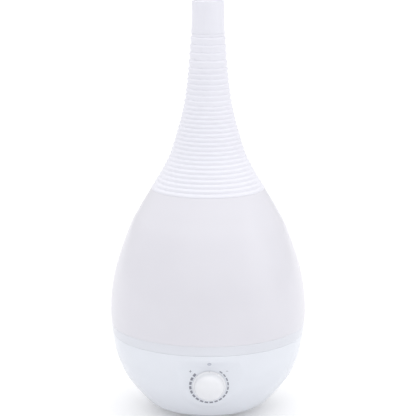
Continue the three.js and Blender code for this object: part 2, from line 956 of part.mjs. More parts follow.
place("tank_shell", tankShell(), WHITE);
place("tank_roof", tankRoof(), WHITE);
place("tank_bottom", tankBottom(), WHITE);
place("mist_bell", ring(BELL_INNER_R, BELL_R, BELL_LOW, PLATE_LOW - GAP, MEDIUM), WHITE);
place("mist_tube", ring(TUBE_INNER_R, TUBE_R, PLATE_HIGH + GAP, TUBE_TOP, MEDIUM), WHITE);
place("tube_seal", ring(TUBE_R + 0.5, 23, 239.9, 241.6, SMALL), SILICONE);
place("filler_cap", fillerCap(), INNER_WHITE);
place("cap_gasket", ring(14.8, 18.0, 76.3, 77.7, SMALL, CAP), SILICONE);
place("valve_plunger", valvePlunger(), INNER_WHITE);
place("valve_seal", ring(2.1, 7, 80.3, 81.5, TINY, CAP), SILICONE);
place("valve_spring", valveSpring(), STEEL);

place("mist_neck", mistNeck(), NECK_WHITE);
place("mist_nozzle", mistNozzle(), NECK_WHITE);

export default humidifier;
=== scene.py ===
import json
import math

import bmesh
import bpy
from mathutils import Matrix, Vector


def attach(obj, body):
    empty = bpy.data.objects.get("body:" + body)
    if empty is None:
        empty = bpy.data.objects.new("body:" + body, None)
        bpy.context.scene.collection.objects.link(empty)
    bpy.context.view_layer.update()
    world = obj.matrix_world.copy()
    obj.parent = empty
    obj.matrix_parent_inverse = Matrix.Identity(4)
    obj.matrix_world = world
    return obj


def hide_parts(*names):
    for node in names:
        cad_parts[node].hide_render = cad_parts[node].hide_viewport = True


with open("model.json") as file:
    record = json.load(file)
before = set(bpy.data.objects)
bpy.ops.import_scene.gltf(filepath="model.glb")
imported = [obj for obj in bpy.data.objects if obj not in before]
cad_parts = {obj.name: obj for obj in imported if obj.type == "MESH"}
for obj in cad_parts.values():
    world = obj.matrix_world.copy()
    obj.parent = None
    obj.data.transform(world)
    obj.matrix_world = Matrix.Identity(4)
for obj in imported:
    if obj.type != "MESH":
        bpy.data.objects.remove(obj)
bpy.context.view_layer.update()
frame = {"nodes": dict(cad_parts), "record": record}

MM = 0.001

# ---------- dimensions in millimetres, after the CAD part's ----------

# The drop's outline as (radius, height). A smooth curve runs through these points.
DROP = [
    (39.8, 0), (53.4, 5), (65.7, 12), (85.9, 36), (94.1, 52), (99.6, 70),
    (103.8, 108), (99.0, 150), (84.2, 195), (72.6, 218), (59.5, 240), (46.5, 262),
    (36.6, 285), (24.0, 335), (17.7, 400), (16.8, 436.5),
]
WIDEST_R = 103.8
OVERALL_HEIGHT = 436.5

HOUSING_LOW = 1.5
HOUSING_HIGH = 84.9
HOUSING_WALL = 2.5
HOUSING_SEGMENTS = 256
LEDGE_R = 34.0  # the ledge at the bottom that the base cover fits below
LEDGE_LOW = 5.0
LEDGE_HIGH = 7.5
COVER_HOLE_R = 41.4
DISHED_FROM_R = 60.0  # the dial's face only reshapes the wall outside this radius or above this height
DISHED_FROM_HEIGHT = 12.0
SHAFT_HOLE_R = 4.4
LENS_HOLE_R = 2.1

DIAL_TILT = math.radians(12)
DIAL_CENTRE = Vector((0, -89.9, 50.5))
DIAL_OUT = Vector((0, -math.cos(DIAL_TILT), -math.sin(DIAL_TILT)))
DIAL_UP = Vector((0, -math.sin(DIAL_TILT), math.cos(DIAL_TILT)))
FACE_HALF_WIDTH = 45.0
FACE_TOP = 16.5  # above the shaft the face blends into the drop between these two heights
FACE_FADE = 34.5
PAD_FLAT = 13.0  # where the face stands proud of the drop it blends between these two radii
PAD_EDGE = 37.0

KNOB_BORE_R = 3.3
KNOB_BORE_TOP = 9.6
KNOB_HOLLOW_R = 11.5
KNOB_HOLLOW_TOP = 4.6
KNOB_HOLLOW_LOW = 0.5
SKIRT_R = 17.1
SKIRT_LOW = 0.12
SKIRT_HIGH = 1.3
FILLET_OUTER_R = 16.6
DOME_R = 15.3
DOME_LOW = 3.4
DOME_RISE = 10.45
FILLET_DROP = 1.9

DASHES = 19
FIRST_DASH = 52.0  # degrees, anticlockwise from the right; the ring runs clockwise from here
LAST_DASH = 141.0 - 360.0
DASH_HALF_ANGLE = 5.2
RING_R = 19.5
RING_STRETCH = 1.03  # the ring is printed a little taller than wide
RING_SHIFT = 0.4  # and a little below the knob's middle
THIN_DASH = 1.2
DASH_GROWTH = 1.4
SIGN_UP = 16.7
MINUS_X = 18.2
PLUS_X = -19.3
LENS_UP = 26.4
LENS_R = 1.9

JACK_HEIGHT = 26.0
JACK_HOLE_R = 5.5
JACK_R = 5.1
JACK_BORE_R = 3.2
JACK_END = 78.3  # the jack's outer end, measured from the drop's axis

FOOT_ANGLES = (45, 135, 225, 315)
FOOT_CIRCLE_R = 33.0
FOOT_R = 6.0
FOOT_HIGH = 1.7

BASIN_FLOOR_LOW = 62.0
BASIN_FLOOR_HIGH = 64.5
RIM_LOW = 85.0
RIM_HIGH = 95.25
WELL = (0, -14)  # ultrasonic transducer
WELL_OUTER_R = 14.5
WELL_INNER_R = 12.0
WELL_LOW = 54.0
WELL_SEAT = 56.5
WELL_HOLE_R = 8.3
CHIMNEY = (0, 14)
CHIMNEY_OUTER_R = 10.0
CHIMNEY_INNER_R = 8.0
CHIMNEY_TOP = 86.0
LIFTER_R = 4.0  # the stub that pushes the tank's valve open
LIFTER_TOP = 70.0

FLOAT = (46, -36)
FLOAT_R = 9.0
FLOAT_BORE_R = 2.6
FLOAT_LOW = 66.0
FLOAT_HIGH = 76.0
PIN_R = 2.0
PIN_HEAD_R = 4.5
PIN_HEAD_LOW = 88.5
PIN_HEAD_HIGH = 90.0

TANK_LOW = 95.3
TANK_HIGH = 239.85
TANK_WALL = 2.2
ROOF_LOW = 237.0
ROOF_HIGH = 239.6
COLLAR_OUTER_R = 52.3
COLLAR_INNER_R = 50.3
COLLAR_TOP = 245.5
PLATE_LOW = 96.0  # the tank's bottom plate
PLATE_HIGH = 98.5
PLATE_GAP = 0.4
PLATE_SKIRT_OUTER_R = 95.3
PLATE_SKIRT_INNER_R = 93.3
PLATE_SKIRT_LOW = 88.0
BELL_OUTER_R = 33.0
BELL_INNER_R = 31.0
BELL_LOW = 72.0
TUBE_R = 20.0  # mist tube through the tank
TUBE_INNER_R = 18.2
TUBE_TOP = 250.0
SOCKET_OUTER_R = 22.4  # the raised ring that holds the mist tube
SOCKET_INNER_R = 20.4
SOCKET_TOP = 104.0

CAP = (-45.05, -31.55)  # filler cap and valve
CAP_R = 20.5
CAP_WALL_R = 18.6
CAP_LOW = 73.5
CAP_FLOOR = 76.0
CAP_HIGH = 90.0
CAGE_OUTER_R = 11.0
CAGE_INNER_R = 9.6
CAGE_TOP_LOW = 88.5
VALVE_HOLE_R = 5.0
STEM_HOLE_R = 2.3
CAP_COLLAR_OUTER_R = 17.0
CAP_COLLAR_INNER_R = 14.5
CAP_COLLAR_LOW = 78.0

NECK_LOW = 239.9
NECK_HIGH = 403.25
NECK_WALL = 2.4
FIRST_RIB = 399.7  # height of the highest rib's groove
RIB_RUNS = ((4, 7.95), (7, 5.53), (19, 4.51))  # number of ribs and their pitch, from the top down
# A rib's section as (height from its groove, radius from the drop's outline).
RIB_SECTION = ((-1.7, 0.55), (-0.7, 0.1), (0.0, -0.75), (0.7, -0.35))

NOZZLE_LOW = 403.3
NOZZLE_BORE_R = 14.6
NOZZLE_LIP_R = 14.9
NOZZLE_PLATE_LOW = 433.4
NOZZLE_PLATE_HIGH = 435.0
SPIGOT_R = 14.8
SPIGOT_INNER_R = 12.9
SPIGOT_LOW = 394.0
OUTLET_R = 8.5
OUTLET_AT = (0, -4.5)


# ---------- the drop's outline ----------

def drop_point(t):
    """A point of the smooth curve through DROP, and its direction, at t from 0 to 1."""
    place = t * (len(DROP) - 1)
    i = min(int(place), len(DROP) - 2)
    w = place - i
    p0, p1 = DROP[max(i - 1, 0)], DROP[i]
    p2, p3 = DROP[i + 1], DROP[min(i + 2, len(DROP) - 1)]
    point, along = [], []
    for a, b, c, d in zip(p0, p1, p2, p3):
        v0, v1 = (c - a) / 2, (d - b) / 2
        cubic = 2 * b - 2 * c + v0 + v1
        square = -3 * b + 3 * c - 2 * v0 - v1
        point.append(cubic * w ** 3 + square * w ** 2 + v0 * w + b)
        along.append(3 * cubic * w ** 2 + 2 * square * w + v0)
    return point, along


def inward(t, wall):
    """The point of the curve at t, moved inwards by a wall thickness."""
    (r, z), (dr, dz) = drop_point(t)
    length = math.hypot(dr, dz)
    return r - dz / length * wall, z + dr / length * wall


def parameter(z, wall=0.0):
    """The t at which the curve, or the inside of a wall, reaches a height."""
    low, high = 0.0, 1.0
    for _ in range(40):
        middle = (low + high) / 2
        if inward(middle, wall)[1] < z:
            low = middle
        else:
            high = middle
    return (low + high) / 2


def radius(z, wall=0.0):
    """The drop's radius at a height, or the radius of the inside of a wall."""
    return inward(parameter(z, wall), wall)[0]


def outline(start, end, steps, wall=0.0):
    """Points of the drop between two heights, evenly spaced in height."""
    heights = [start + (end - start) * i / steps for i in range(steps + 1)]
    return [(radius(z, wall), z) for z in heights]


# ---------- mesh helpers ----------

SHARPEST_KEPT = math.radians(14)  # corners of an outline sharper than this are rounded
SMOOTH_ANGLE = 32  # degrees; edges sharper than this are drawn as edges


def rounded(points, size, steps=4, closed=True):
    """Rounds every sharp corner of an outline with a small curve."""
    count, out = len(points), []
    for i, p in enumerate(points):
        if not closed and i in (0, count - 1):
            out.append(p)
            continue
        a, b = points[i - 1], points[(i + 1) % count]
        u = Vector((p[0] - a[0], p[1] - a[1]))
        v = Vector((b[0] - p[0], b[1] - p[1]))
        if u.length < 1e-6 or v.length < 1e-6 or u.angle(v) < SHARPEST_KEPT:
            out.append(p)
            continue
        reach = min(size, 0.45 * u.length, 0.45 * v.length)
        q0 = Vector(p) - u.normalized() * reach
        q2 = Vector(p) + v.normalized() * reach
        for k in range(steps + 1):
            w = k / steps
            q = q0 * (1 - w) ** 2 + Vector(p) * 2 * w * (1 - w) + q2 * w ** 2
            out.append((q.x, q.y))
    return out


def shade_smooth(mesh, angle):
    """Smooths a mesh's shading, except across edges sharper than an angle in degrees."""
    for polygon in mesh.polygons:
        polygon.use_smooth = True
    mesh.set_sharp_from_angle(angle=math.radians(angle))


def add_mesh(name, bm, smooth_angle=SMOOTH_ANGLE):
    """Makes an object of a bmesh and adds it to the scene."""
    bmesh.ops.recalc_face_normals(bm, faces=bm.faces)
    mesh = bpy.data.meshes.new(name)
    bm.to_mesh(mesh)
    bm.free()
    shade_smooth(mesh, smooth_angle)
    piece = bpy.data.objects.new(name, mesh)
    bpy.context.scene.collection.objects.link(piece)
    return piece


def turned_bmesh(points, segments, at=(0, 0)):
    """Turns an outline of (radius, height) about +Z; one that misses the axis is closed on itself."""
    bm = bmesh.new()
    closed = points[0][0] > 1e-6
    rings = []
    for r, z in points:
        if r < 1e-6:
            rings.append([bm.verts.new((at[0] * MM, at[1] * MM, z * MM))] * segments)
            continue
        rings.append([
            bm.verts.new((
                (at[0] + r * math.sin(2 * math.pi * k / segments)) * MM,
                (at[1] - r * math.cos(2 * math.pi * k / segments)) * MM,
                z * MM,
            ))
            for k in range(segments)
        ])
    pairs = list(zip(rings, rings[1:]))
    if closed:
        pairs.append((rings[-1], rings[0]))
    for low, high in pairs:
        for k in range(segments):
            n = (k + 1) % segments
            corners = []
            for v in (low[k], low[n], high[n], high[k]):
                if v not in corners:
                    corners.append(v)
            if len(corners) > 2:
                bm.faces.new(corners)
    return bm


def turned(name, points, segments=96, at=(0, 0), round_size=0.3):
    """A turned piece with rounded edges."""
    closed = points[0][0] > 1e-6
    return add_mesh(name, turned_bmesh(rounded(points, round_size, 3, closed), segments, at))


def prism(bm, low, high):
    """Closes the space between two loops of vertices that face each other."""
    count = len(high)
    bm.faces.new(high)
    bm.faces.new(low[::-1])
    for k in range(count):
        n = (k + 1) % count
        bm.faces.new((low[k], low[n], high[n], high[k]))


def on_dial(piece):
    """Moves a mesh built about +Z to the dial: its +Z becomes the outward normal and its +Y points up."""
    basis = Matrix((
        (1, DIAL_UP.x, DIAL_OUT.x, DIAL_CENTRE.x * MM),
        (0, DIAL_UP.y, DIAL_OUT.y, DIAL_CENTRE.y * MM),
        (0, DIAL_UP.z, DIAL_OUT.z, DIAL_CENTRE.z * MM),
        (0, 0, 0, 1),
    ))
    piece.data.transform(basis)
    return piece


def at_inlet(piece):
    """Moves a mesh built about +Z to the power inlet: its +Z points out of the back."""
    piece.data.transform(Matrix.Rotation(math.radians(-90), 4, "X"))
    piece.data.transform(Matrix.Translation((0, 0, JACK_HEIGHT * MM)))
    return piece


def bake_modifiers(piece):
    """Applies a piece's modifiers to its mesh."""
    graph = bpy.context.evaluated_depsgraph_get()
    graph.update()
    mesh = bpy.data.meshes.new_from_object(piece.evaluated_get(graph))
    piece.modifiers.clear()
    old = piece.data
    piece.data = mesh
    bpy.data.meshes.remove(old)
    mesh.name = piece.name
    shade_smooth(mesh, SMOOTH_ANGLE)


def combine(piece, operation, others):
    """Applies a boolean operation with other objects, which are used up by it."""
    for other in others:
        m = piece.modifiers.new(operation.lower(), "BOOLEAN")
        m.operation = operation
        m.solver = "EXACT"
        m.object = other
    bake_modifiers(piece)
    for other in others:
        bpy.data.objects.remove(other)
    return piece


def cut(piece, *cutters):
    return combine(piece, "DIFFERENCE", cutters)


def join(piece, *others):
    return combine(piece, "UNION", others)


def rod(r, low, high, at=(0, 0)):
    """A plain round cutter or stub, later used up by cut or join."""
    return add_mesh("rod", turned_bmesh([(0, low), (r, low), (r, high), (0, high)], 48, at))


def finish_piece(piece, body, slot, material, *nodes):
    """Gives a piece its material and its body, and hides the CAD nodes that it stands for; the slot argument
    is not used.
    """
    piece.data.materials.clear()
    piece.data.materials.append(material)
    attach(piece, body)
    if nodes:
        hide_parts(*nodes)


# ---------- materials ----------

ROUGHNESS_SWING = 0.05
COAT_ROUGHNESS = 0.16
GRAIN_SCALE = 900.0
GRAIN_DEPTH = 0.0003  # metres


def linear(rgb):
    """Turns 8-bit sRGB values into the linear ones that the shader takes."""
    return [((c / 255 + 0.055) / 1.055) ** 2.4 if c > 10 else c / 255 / 12.92 for c in rgb]


def plastic(name, rgb, rough, variation=0.012, bump=0.02, metallic=0.0, coat=0.0, specular=0.5, cloud=18.0):
    """Moulded material: broad faint clouding of the colour, uneven gloss and a very fine moulding grain."""
    material = bpy.data.materials.new(name)
    material.use_nodes = True
    tree = material.node_tree
    nodes, links = tree.nodes, tree.links
    nodes.clear()
    out = nodes.new("ShaderNodeOutputMaterial")
    shader = nodes.new("ShaderNodeBsdfPrincipled")
    links.new(shader.outputs["BSDF"], out.inputs["Surface"])
    place = nodes.new("ShaderNodeTexCoord")

    broad = nodes.new("ShaderNodeTexNoise")
    broad.inputs["Scale"].default_value = cloud
    broad.inputs["Detail"].default_value = 3
    links.new(place.outputs["Object"], broad.inputs["Vector"])

    colour = linear(rgb)
    ramp = nodes.new("ShaderNodeValToRGB")
    dark, light = ramp.color_ramp.elements
    dark.position, light.position = 0.3, 0.7
    dark.color = [c * (1 - variation) for c in colour] + [1]
    light.color = [min(1, c * (1 + variation)) for c in colour] + [1]
    links.new(broad.outputs["Fac"], ramp.inputs["Fac"])
    links.new(ramp.outputs["Color"], shader.inputs["Base Color"])

    gloss = nodes.new("ShaderNodeMapRange")
    gloss.inputs["To Min"].default_value = rough - ROUGHNESS_SWING
    gloss.inputs["To Max"].default_value = rough + ROUGHNESS_SWING
    links.new(broad.outputs["Fac"], gloss.inputs["Value"])
    links.new(gloss.outputs["Result"], shader.inputs["Roughness"])

    fine = nodes.new("ShaderNodeTexNoise")
    fine.inputs["Scale"].default_value = GRAIN_SCALE
    fine.inputs["Detail"].default_value = 2
    links.new(place.outputs["Object"], fine.inputs["Vector"])
    bumps = nodes.new("ShaderNodeBump")
    bumps.inputs["Strength"].default_value = bump
    bumps.inputs["Distance"].default_value = GRAIN_DEPTH
    links.new(fine.outputs["Fac"], bumps.inputs["Height"])
    links.new(bumps.outputs["Normal"], shader.inputs["Normal"])

    shader.inputs["Metallic"].default_value = metallic
    shader.inputs["Specular IOR Level"].default_value = specular
    shader.inputs["Coat Weight"].default_value = coat
    shader.inputs["Coat Roughness"].default_value = COAT_ROUGHNESS
    return material


# The roughness of the tank and neck stays above 0.28 and that of the base below it, all over the surface:
# one that crosses this value comes out blotchy.
TANK_WHITE = plastic("tank_white", (209, 208, 215), 0.34, coat=0.3)
NECK_WHITE = plastic("neck_white", (219, 219, 227), 0.34)
BASE_WHITE = plastic("base_white", (217, 220, 227), 0.22, specular=0.28)
# The basin's rim band takes the base's white made darker: painted shade for the band below the tank.
RIM_PAINTED_SHADE = plastic("rim_white_painted_shade", (210, 212, 219), 0.22, specular=0.28)
KNOB_WHITE = plastic("knob_white", (222, 223, 227), 0.18)
INNER_WHITE = plastic("inner_white", (232, 234, 238), 0.42)
MARK_GREY = plastic("mark_grey", (133, 135, 145), 0.5)
RUBBER = plastic("grey_rubber", (140, 142, 148), 0.8, bump=0.2)
SILICONE = plastic("silicone", (212, 215, 220), 0.6)
BLACK = plastic("black_plastic", (38, 40, 43), 0.45, bump=0.15)
BOARD = plastic("board_green", (36, 100, 62), 0.45, variation=0.08, cloud=120)
STEEL = plastic("steel", (178, 181, 187), 0.3, metallic=1.0, bump=0.1)
ALUMINIUM = plastic("aluminium", (194, 197, 202), 0.38, metallic=1.0, bump=0.15)
COPPER = plastic("copper", (181, 106, 60), 0.35, metallic=1.0, bump=0.2)
CERAMIC = plastic("ceramic", (214, 208, 182), 0.35, variation=0.04)
LED = plastic("led_tint", (190, 194, 205), 0.15)
LEAD = plastic("lead_grey", (110, 116, 124), 0.55)

SLOT_MATERIALS = {
    "tank_white": TANK_WHITE, "neck_white": NECK_WHITE, "base_white": BASE_WHITE,
    "knob_white": KNOB_WHITE, "inner_white": INNER_WHITE, "grey_rubber": RUBBER,
    "silicone": SILICONE, "black_plastic": BLACK, "board_green": BOARD, "steel": STEEL,
    "aluminium": ALUMINIUM, "copper": COPPER, "ceramic": CERAMIC, "led_tint": LED,
    "lead_grey": LEAD,
}
for part in frame["record"]["subparts"]:
    node = frame["nodes"][part["node"]]
    node.data.materials.clear()
    node.data.materials.append(SLOT_MATERIALS[part["material_slot"]])


# ---------- base housing with its dished dial face ----------

def flatten(w):
    """A smooth step from 0 to 1."""
    w = min(1.0, max(0.0, w))
    return w * w * w * (w * (6 * w - 15) + 10)


def dish(p, depth=0.0):
    """Moves a point of the drop's surface onto the flat dial face and blends the face into the drop."""
    d = p - DIAL_CENTRE
    u = d.dot(DIAL_OUT) + depth
    up = d.dot(DIAL_UP)
    if p.y > 0 or abs(d.x) > FACE_HALF_WIDTH:
        return p
    if u > 0:
        weight = flatten((FACE_FADE - up) / (FACE_FADE - FACE_TOP))
    else:
        weight = flatten((PAD_EDGE - math.hypot(d.x, up)) / (PAD_EDGE - PAD_FLAT))
    return p - DIAL_OUT * (u * weight)


def base_housing():
    walls = outline(HOUSING_LOW, HOUSING_HIGH, 72) + outline(HOUSING_HIGH, LEDGE_HIGH, 30, HOUSING_WALL)
    ledge = [
        (LEDGE_R, LEDGE_HIGH), (LEDGE_R, LEDGE_LOW), (COVER_HOLE_R, LEDGE_LOW), (COVER_HOLE_R, HOUSING_LOW),
    ]
    bm = turned_bmesh(rounded(walls + ledge, 0.18, 3), HOUSING_SEGMENTS)
    drop_radius = {}
    for v in bm.verts:
        p = v.co / MM
        r = math.hypot(p.x, p.y)
        key = round(p.z, 3)
        if key not in drop_radius:
            drop_radius[key] = radius(p.z)
        inside = max(0.0, drop_radius[key] - r)
        if r > DISHED_FROM_R or p.z > DISHED_FROM_HEIGHT:
            v.co = dish(p, inside) * MM
    housing = add_mesh("base_housing", bm, 40)
    jack_hole = at_inlet(rod(JACK_HOLE_R, 60, 95))
    shaft_hole = on_dial(rod(SHAFT_HOLE_R, -12, 12))
    lens_hole = on_dial(rod(LENS_HOLE_R, -8, 10, (0, LENS_UP)))
    return cut(housing, jack_hole, shaft_hole, lens_hole)


finish_piece(base_housing(), "base", "base_white", BASE_WHITE, "base_shell")


# ---------- basin, feet and power inlet ----------

def water_basin():
    """The basin pan with its rim, transducer well, air chimney and valve lifter."""
    points = [
        (0, BASIN_FLOOR_LOW), (77, BASIN_FLOOR_LOW), (84.9, 79.6), (97, 82.7), (98.7, 83.7), (98.7, RIM_LOW),
    ]
    points += outline(RIM_LOW, RIM_HIGH, 8)
    points += [(98.5, RIM_HIGH), (96, 86), (83, 83), (75, BASIN_FLOOR_HIGH), (0, BASIN_FLOOR_HIGH)]
    basin = turned("basin", points, 192, round_size=0.15)
    stubs = [
        rod(CHIMNEY_OUTER_R, 58, CHIMNEY_TOP, CHIMNEY),
        rod(WELL_OUTER_R, WELL_LOW, 63.5, WELL),
        rod(LIFTER_R, 63, LIFTER_TOP, CAP),
    ]
    holes = [
        rod(WELL_INNER_R, WELL_SEAT, 70, WELL),
        rod(WELL_HOLE_R, 50, 60, WELL),
        rod(CHIMNEY_INNER_R, 50, 90, CHIMNEY),
    ]
    return cut(join(basin, *stubs), *holes)


# The basin gets the darker copy of the base's white, which is painted shade on its rim band.
finish_piece(water_basin(), "base", "base_white", RIM_PAINTED_SHADE, "water_basin", "basin_rim", "air_chimney")

for index, angle in enumerate(FOOT_ANGLES):
    a = math.radians(angle)
    at = (FOOT_CIRCLE_R * math.cos(a), FOOT_CIRCLE_R * math.sin(a))
    section = [(0, 0), (FOOT_R, 0), (FOOT_R, FOOT_HIGH), (0, FOOT_HIGH)]
    foot = turned(f"foot_pad_{index + 1}", section, 48, at, 0.5)
    finish_piece(foot, "base", "grey_rubber", RUBBER, f"foot_{index + 1}")

jack_section = [
    (0, 66), (JACK_R, 66), (JACK_R, JACK_END), (JACK_BORE_R, JACK_END), (JACK_BORE_R, 69), (0, 69),
]
finish_piece(at_inlet(turned("power_inlet", jack_section, 48)), "base", "black_plastic", BLACK)
pin_section = [(0, 68.5), (1, 68.5), (1, 77), (0, 77)]
inlet_pin = at_inlet(turned("inlet_pin", pin_section, 24, round_size=0.4))
finish_piece(inlet_pin, "base", "steel", STEEL, "dc_jack")


# ---------- dial ----------

def control_knob():
    """A domed knob on a flat skirt; a small hollow curve leads from the skirt into the dome."""
    section = [
        (0, KNOB_BORE_TOP), (KNOB_BORE_R, KNOB_BORE_TOP), (KNOB_BORE_R, KNOB_HOLLOW_TOP),
        (KNOB_HOLLOW_R, KNOB_HOLLOW_TOP), (KNOB_HOLLOW_R, KNOB_HOLLOW_LOW), (KNOB_HOLLOW_R, SKIRT_LOW),
        (SKIRT_R, SKIRT_LOW), (SKIRT_R, SKIRT_HIGH),
    ]
    for k in range(6):
        a = math.pi / 2 * k / 5
        r = FILLET_OUTER_R - (FILLET_OUTER_R - DOME_R) * math.sin(a)
        section.append((r, DOME_LOW - FILLET_DROP * math.cos(a)))
    for k in range(1, 15):
        a = math.pi / 2 * k / 15
        section.append((DOME_R * math.cos(a), DOME_LOW + DOME_RISE * math.sin(a)))
    section.append((0, DOME_LOW + DOME_RISE))
    return on_dial(turned("control_knob", section, 96, round_size=0.35))


finish_piece(control_knob(), "dial", "knob_white", KNOB_WHITE, "dial_knob")


def surface_point(x, up):
    """The housing's surface at a place on the dial's face, and the direction out of it."""
    def on_face(x, up):
        low, high = -30.0, 30.0
        for _ in range(40):
            u = (low + high) / 2
            p = DIAL_CENTRE + Vector((x, 0, 0)) + DIAL_UP * up + DIAL_OUT * u
            if math.hypot(p.x, p.y) > radius(p.z):
                high = u
            else:
                low = u
        return dish(p)

    p = on_face(x, up)
    normal = (on_face(x + 0.2, up) - p).cross(on_face(x, up + 0.2) - p).normalized()
    return p, normal


def stamp(bm, outline_points, proud=0.12):
    """A thin printed mark: an outline on the dial's face, wrapped onto the surface, just proud of it."""
    top, low = [], []
    for x, up in outline_points:
        p, n = surface_point(x, up)
        top.append(bm.verts.new((p + n * proud) * MM))
        low.append(bm.verts.new((p - n * proud) * MM))
    prism(bm, low, top)


def ring_dash(middle, inner, outer):
    """The outline of one dash of the ring, as (x, up) on the dial's face."""
    steps = 4
    out = []
    for r, direction in ((outer, 1), (inner, -1)):
        for k in range(-steps, steps + 1):
            a = math.radians(middle + direction * DASH_HALF_ANGLE * k / steps)
            out.append((r * math.cos(a), RING_STRETCH * r * math.sin(a) - RING_SHIFT))
    return out


def bar(x, up, width, height):
    """The outline of a short straight mark, as (x, up) on the dial's face."""
    return [(x - width / 2, up - height / 2), (x + width / 2, up - height / 2),
            (x + width / 2, up + height / 2), (x - width / 2, up + height / 2)]


def dial_marks():
    """The ring of dashes, which grow thicker clockwise, with a minus at its start and a plus at its end."""
    marks = bmesh.new()
    for k in range(DASHES):
        share = k / (DASHES - 1)
        middle = FIRST_DASH + (LAST_DASH - FIRST_DASH) * share
        thick = THIN_DASH + DASH_GROWTH * share
        stamp(marks, ring_dash(middle, RING_R - thick / 2, RING_R + thick / 2))
    stamp(marks, bar(MINUS_X, SIGN_UP, 2.2, 0.5))
    stamp(marks, bar(PLUS_X, SIGN_UP, 2.4, 0.6))
    for side in (1, -1):
        stamp(marks, bar(PLUS_X, SIGN_UP + side * 0.9, 0.6, 1.15))
    return add_mesh("dial_marks", marks)


finish_piece(dial_marks(), "base", "lead_grey", MARK_GREY)


def knob_index():
    """The fine line on the knob's skirt that points at the ring."""
    bm = bmesh.new()
    corners = [(-0.5, 15.6), (0.5, 15.6), (0.5, 16.9), (-0.5, 16.9)]
    low, high = [[bm.verts.new((x * MM, y * MM, z * MM)) for x, y in corners] for z in (1.3, 1.5)]
    prism(bm, low, high)
    return on_dial(add_mesh("knob_index", bm))


finish_piece(knob_index(), "dial", "lead_grey", MARK_GREY)


def lens_window():
    point, normal = surface_point(0, LENS_UP)
    lens = turned("lens_window", [(0, -4), (LENS_R, -4), (LENS_R, 0.25), (0, 0.35)], 48, round_size=0.3)
    turn = normal.to_track_quat("Z", "Y").to_matrix().to_4x4()
    lens.data.transform(Matrix.Translation(point * MM) @ turn)
    return lens


finish_piece(lens_window(), "base", "led_tint", LED, "indicator_lens")

# ---------- float ----------

float_section = [
    (FLOAT_BORE_R, FLOAT_LOW), (FLOAT_R, FLOAT_LOW), (FLOAT_R, FLOAT_HIGH), (FLOAT_BORE_R, FLOAT_HIGH),
]
float_piece = turned("float", float_section, 64, FLOAT, 1.0)
finish_piece(float_piece, "float", "inner_white", INNER_WHITE, "float_ring")
guide_section = [
    (0, BASIN_FLOOR_HIGH + 0.1), (PIN_R, BASIN_FLOOR_HIGH + 0.1), (PIN_R, PIN_HEAD_LOW),
    (PIN_HEAD_R, PIN_HEAD_LOW), (PIN_HEAD_R, PIN_HEAD_HIGH), (0, PIN_HEAD_HIGH),
]
float_guide = turned("float_guide", guide_section, 48, FLOAT, 0.4)
finish_piece(float_guide, "base", "inner_white", INNER_WHITE, "float_pin")


# ---------- tank ----------

def tank_body():
    """The tank's wall, with the roof and the collar that the neck fits over."""
    points = [(min(r, WIDEST_R), z) for r, z in outline(TANK_LOW, TANK_HIGH, 60)]
    points += [
        (COLLAR_OUTER_R, TANK_HIGH), (COLLAR_OUTER_R, COLLAR_TOP), (COLLAR_INNER_R, COLLAR_TOP),
        (COLLAR_INNER_R, ROOF_HIGH), (SOCKET_INNER_R, ROOF_HIGH), (SOCKET_INNER_R, ROOF_LOW),
    ]
    points += outline(ROOF_LOW, TANK_LOW, 40, TANK_WALL)
    return turned("tank_body", points, 192, round_size=0.12)


def tank_floor():
    """The tank's bottom plate with its skirt, the mist bell, the tube's socket and the filler collar."""
    section = [
        (TUBE_INNER_R, PLATE_LOW), (BELL_INNER_R, PLATE_LOW), (BELL_INNER_R, BELL_LOW),
        (BELL_OUTER_R, BELL_LOW), (BELL_OUTER_R, PLATE_LOW), (PLATE_SKIRT_INNER_R, PLATE_LOW),
        (PLATE_SKIRT_INNER_R, PLATE_SKIRT_LOW), (PLATE_SKIRT_OUTER_R, PLATE_SKIRT_LOW),
        (PLATE_SKIRT_OUTER_R, PLATE_LOW), (radius(PLATE_LOW, TANK_WALL) - PLATE_GAP, PLATE_LOW),
        (radius(PLATE_HIGH, TANK_WALL) - PLATE_GAP, PLATE_HIGH), (SOCKET_OUTER_R, PLATE_HIGH),
        (SOCKET_OUTER_R, SOCKET_TOP), (SOCKET_INNER_R, SOCKET_TOP), (SOCKET_INNER_R, PLATE_HIGH),
        (TUBE_INNER_R, PLATE_HIGH),
    ]
    floor = turned("tank_floor", section, 160, round_size=0.4)
    floor = join(floor, rod(CAP_COLLAR_OUTER_R, CAP_COLLAR_LOW, 97, CAP))
    return cut(floor, rod(CAP_COLLAR_INNER_R, 70, 110, CAP))


finish_piece(tank_body(), "tank", "tank_white", TANK_WHITE, "tank_shell", "tank_roof")
finish_piece(tank_floor(), "tank", "tank_white", TANK_WHITE, "tank_bottom", "mist_bell")
tube_section = [(TUBE_INNER_R, 98.8), (TUBE_R, 98.8), (TUBE_R, TUBE_TOP), (TUBE_INNER_R, TUBE_TOP)]
finish_piece(turned("mist_pipe", tube_section), "tank", "tank_white", TANK_WHITE, "mist_tube")
gasket_section = [(20.5, 239.9), (23, 239.9), (23, 241.6), (20.5, 241.6)]
pipe_gasket = turned("pipe_gasket", gasket_section, round_size=0.6)
finish_piece(pipe_gasket, "tank", "silicone", SILICONE, "tube_seal")

cap_section = [
    (VALVE_HOLE_R, CAP_LOW), (CAP_R, CAP_LOW), (CAP_R, CAP_HIGH), (CAP_WALL_R, CAP_HIGH),
    (CAP_WALL_R, CAP_FLOOR), (CAGE_OUTER_R, CAP_FLOOR), (CAGE_OUTER_R, CAP_HIGH), (STEM_HOLE_R, CAP_HIGH),
    (STEM_HOLE_R, CAGE_TOP_LOW), (CAGE_INNER_R, CAGE_TOP_LOW), (CAGE_INNER_R, CAP_FLOOR),
    (VALVE_HOLE_R, CAP_FLOOR),
]
cap = turned("tank_cap_shell", cap_section, 96, CAP, 0.5)
finish_piece(cap, "tank_cap", "inner_white", INNER_WHITE, "filler_cap")


# ---------- neck and nozzle ----------

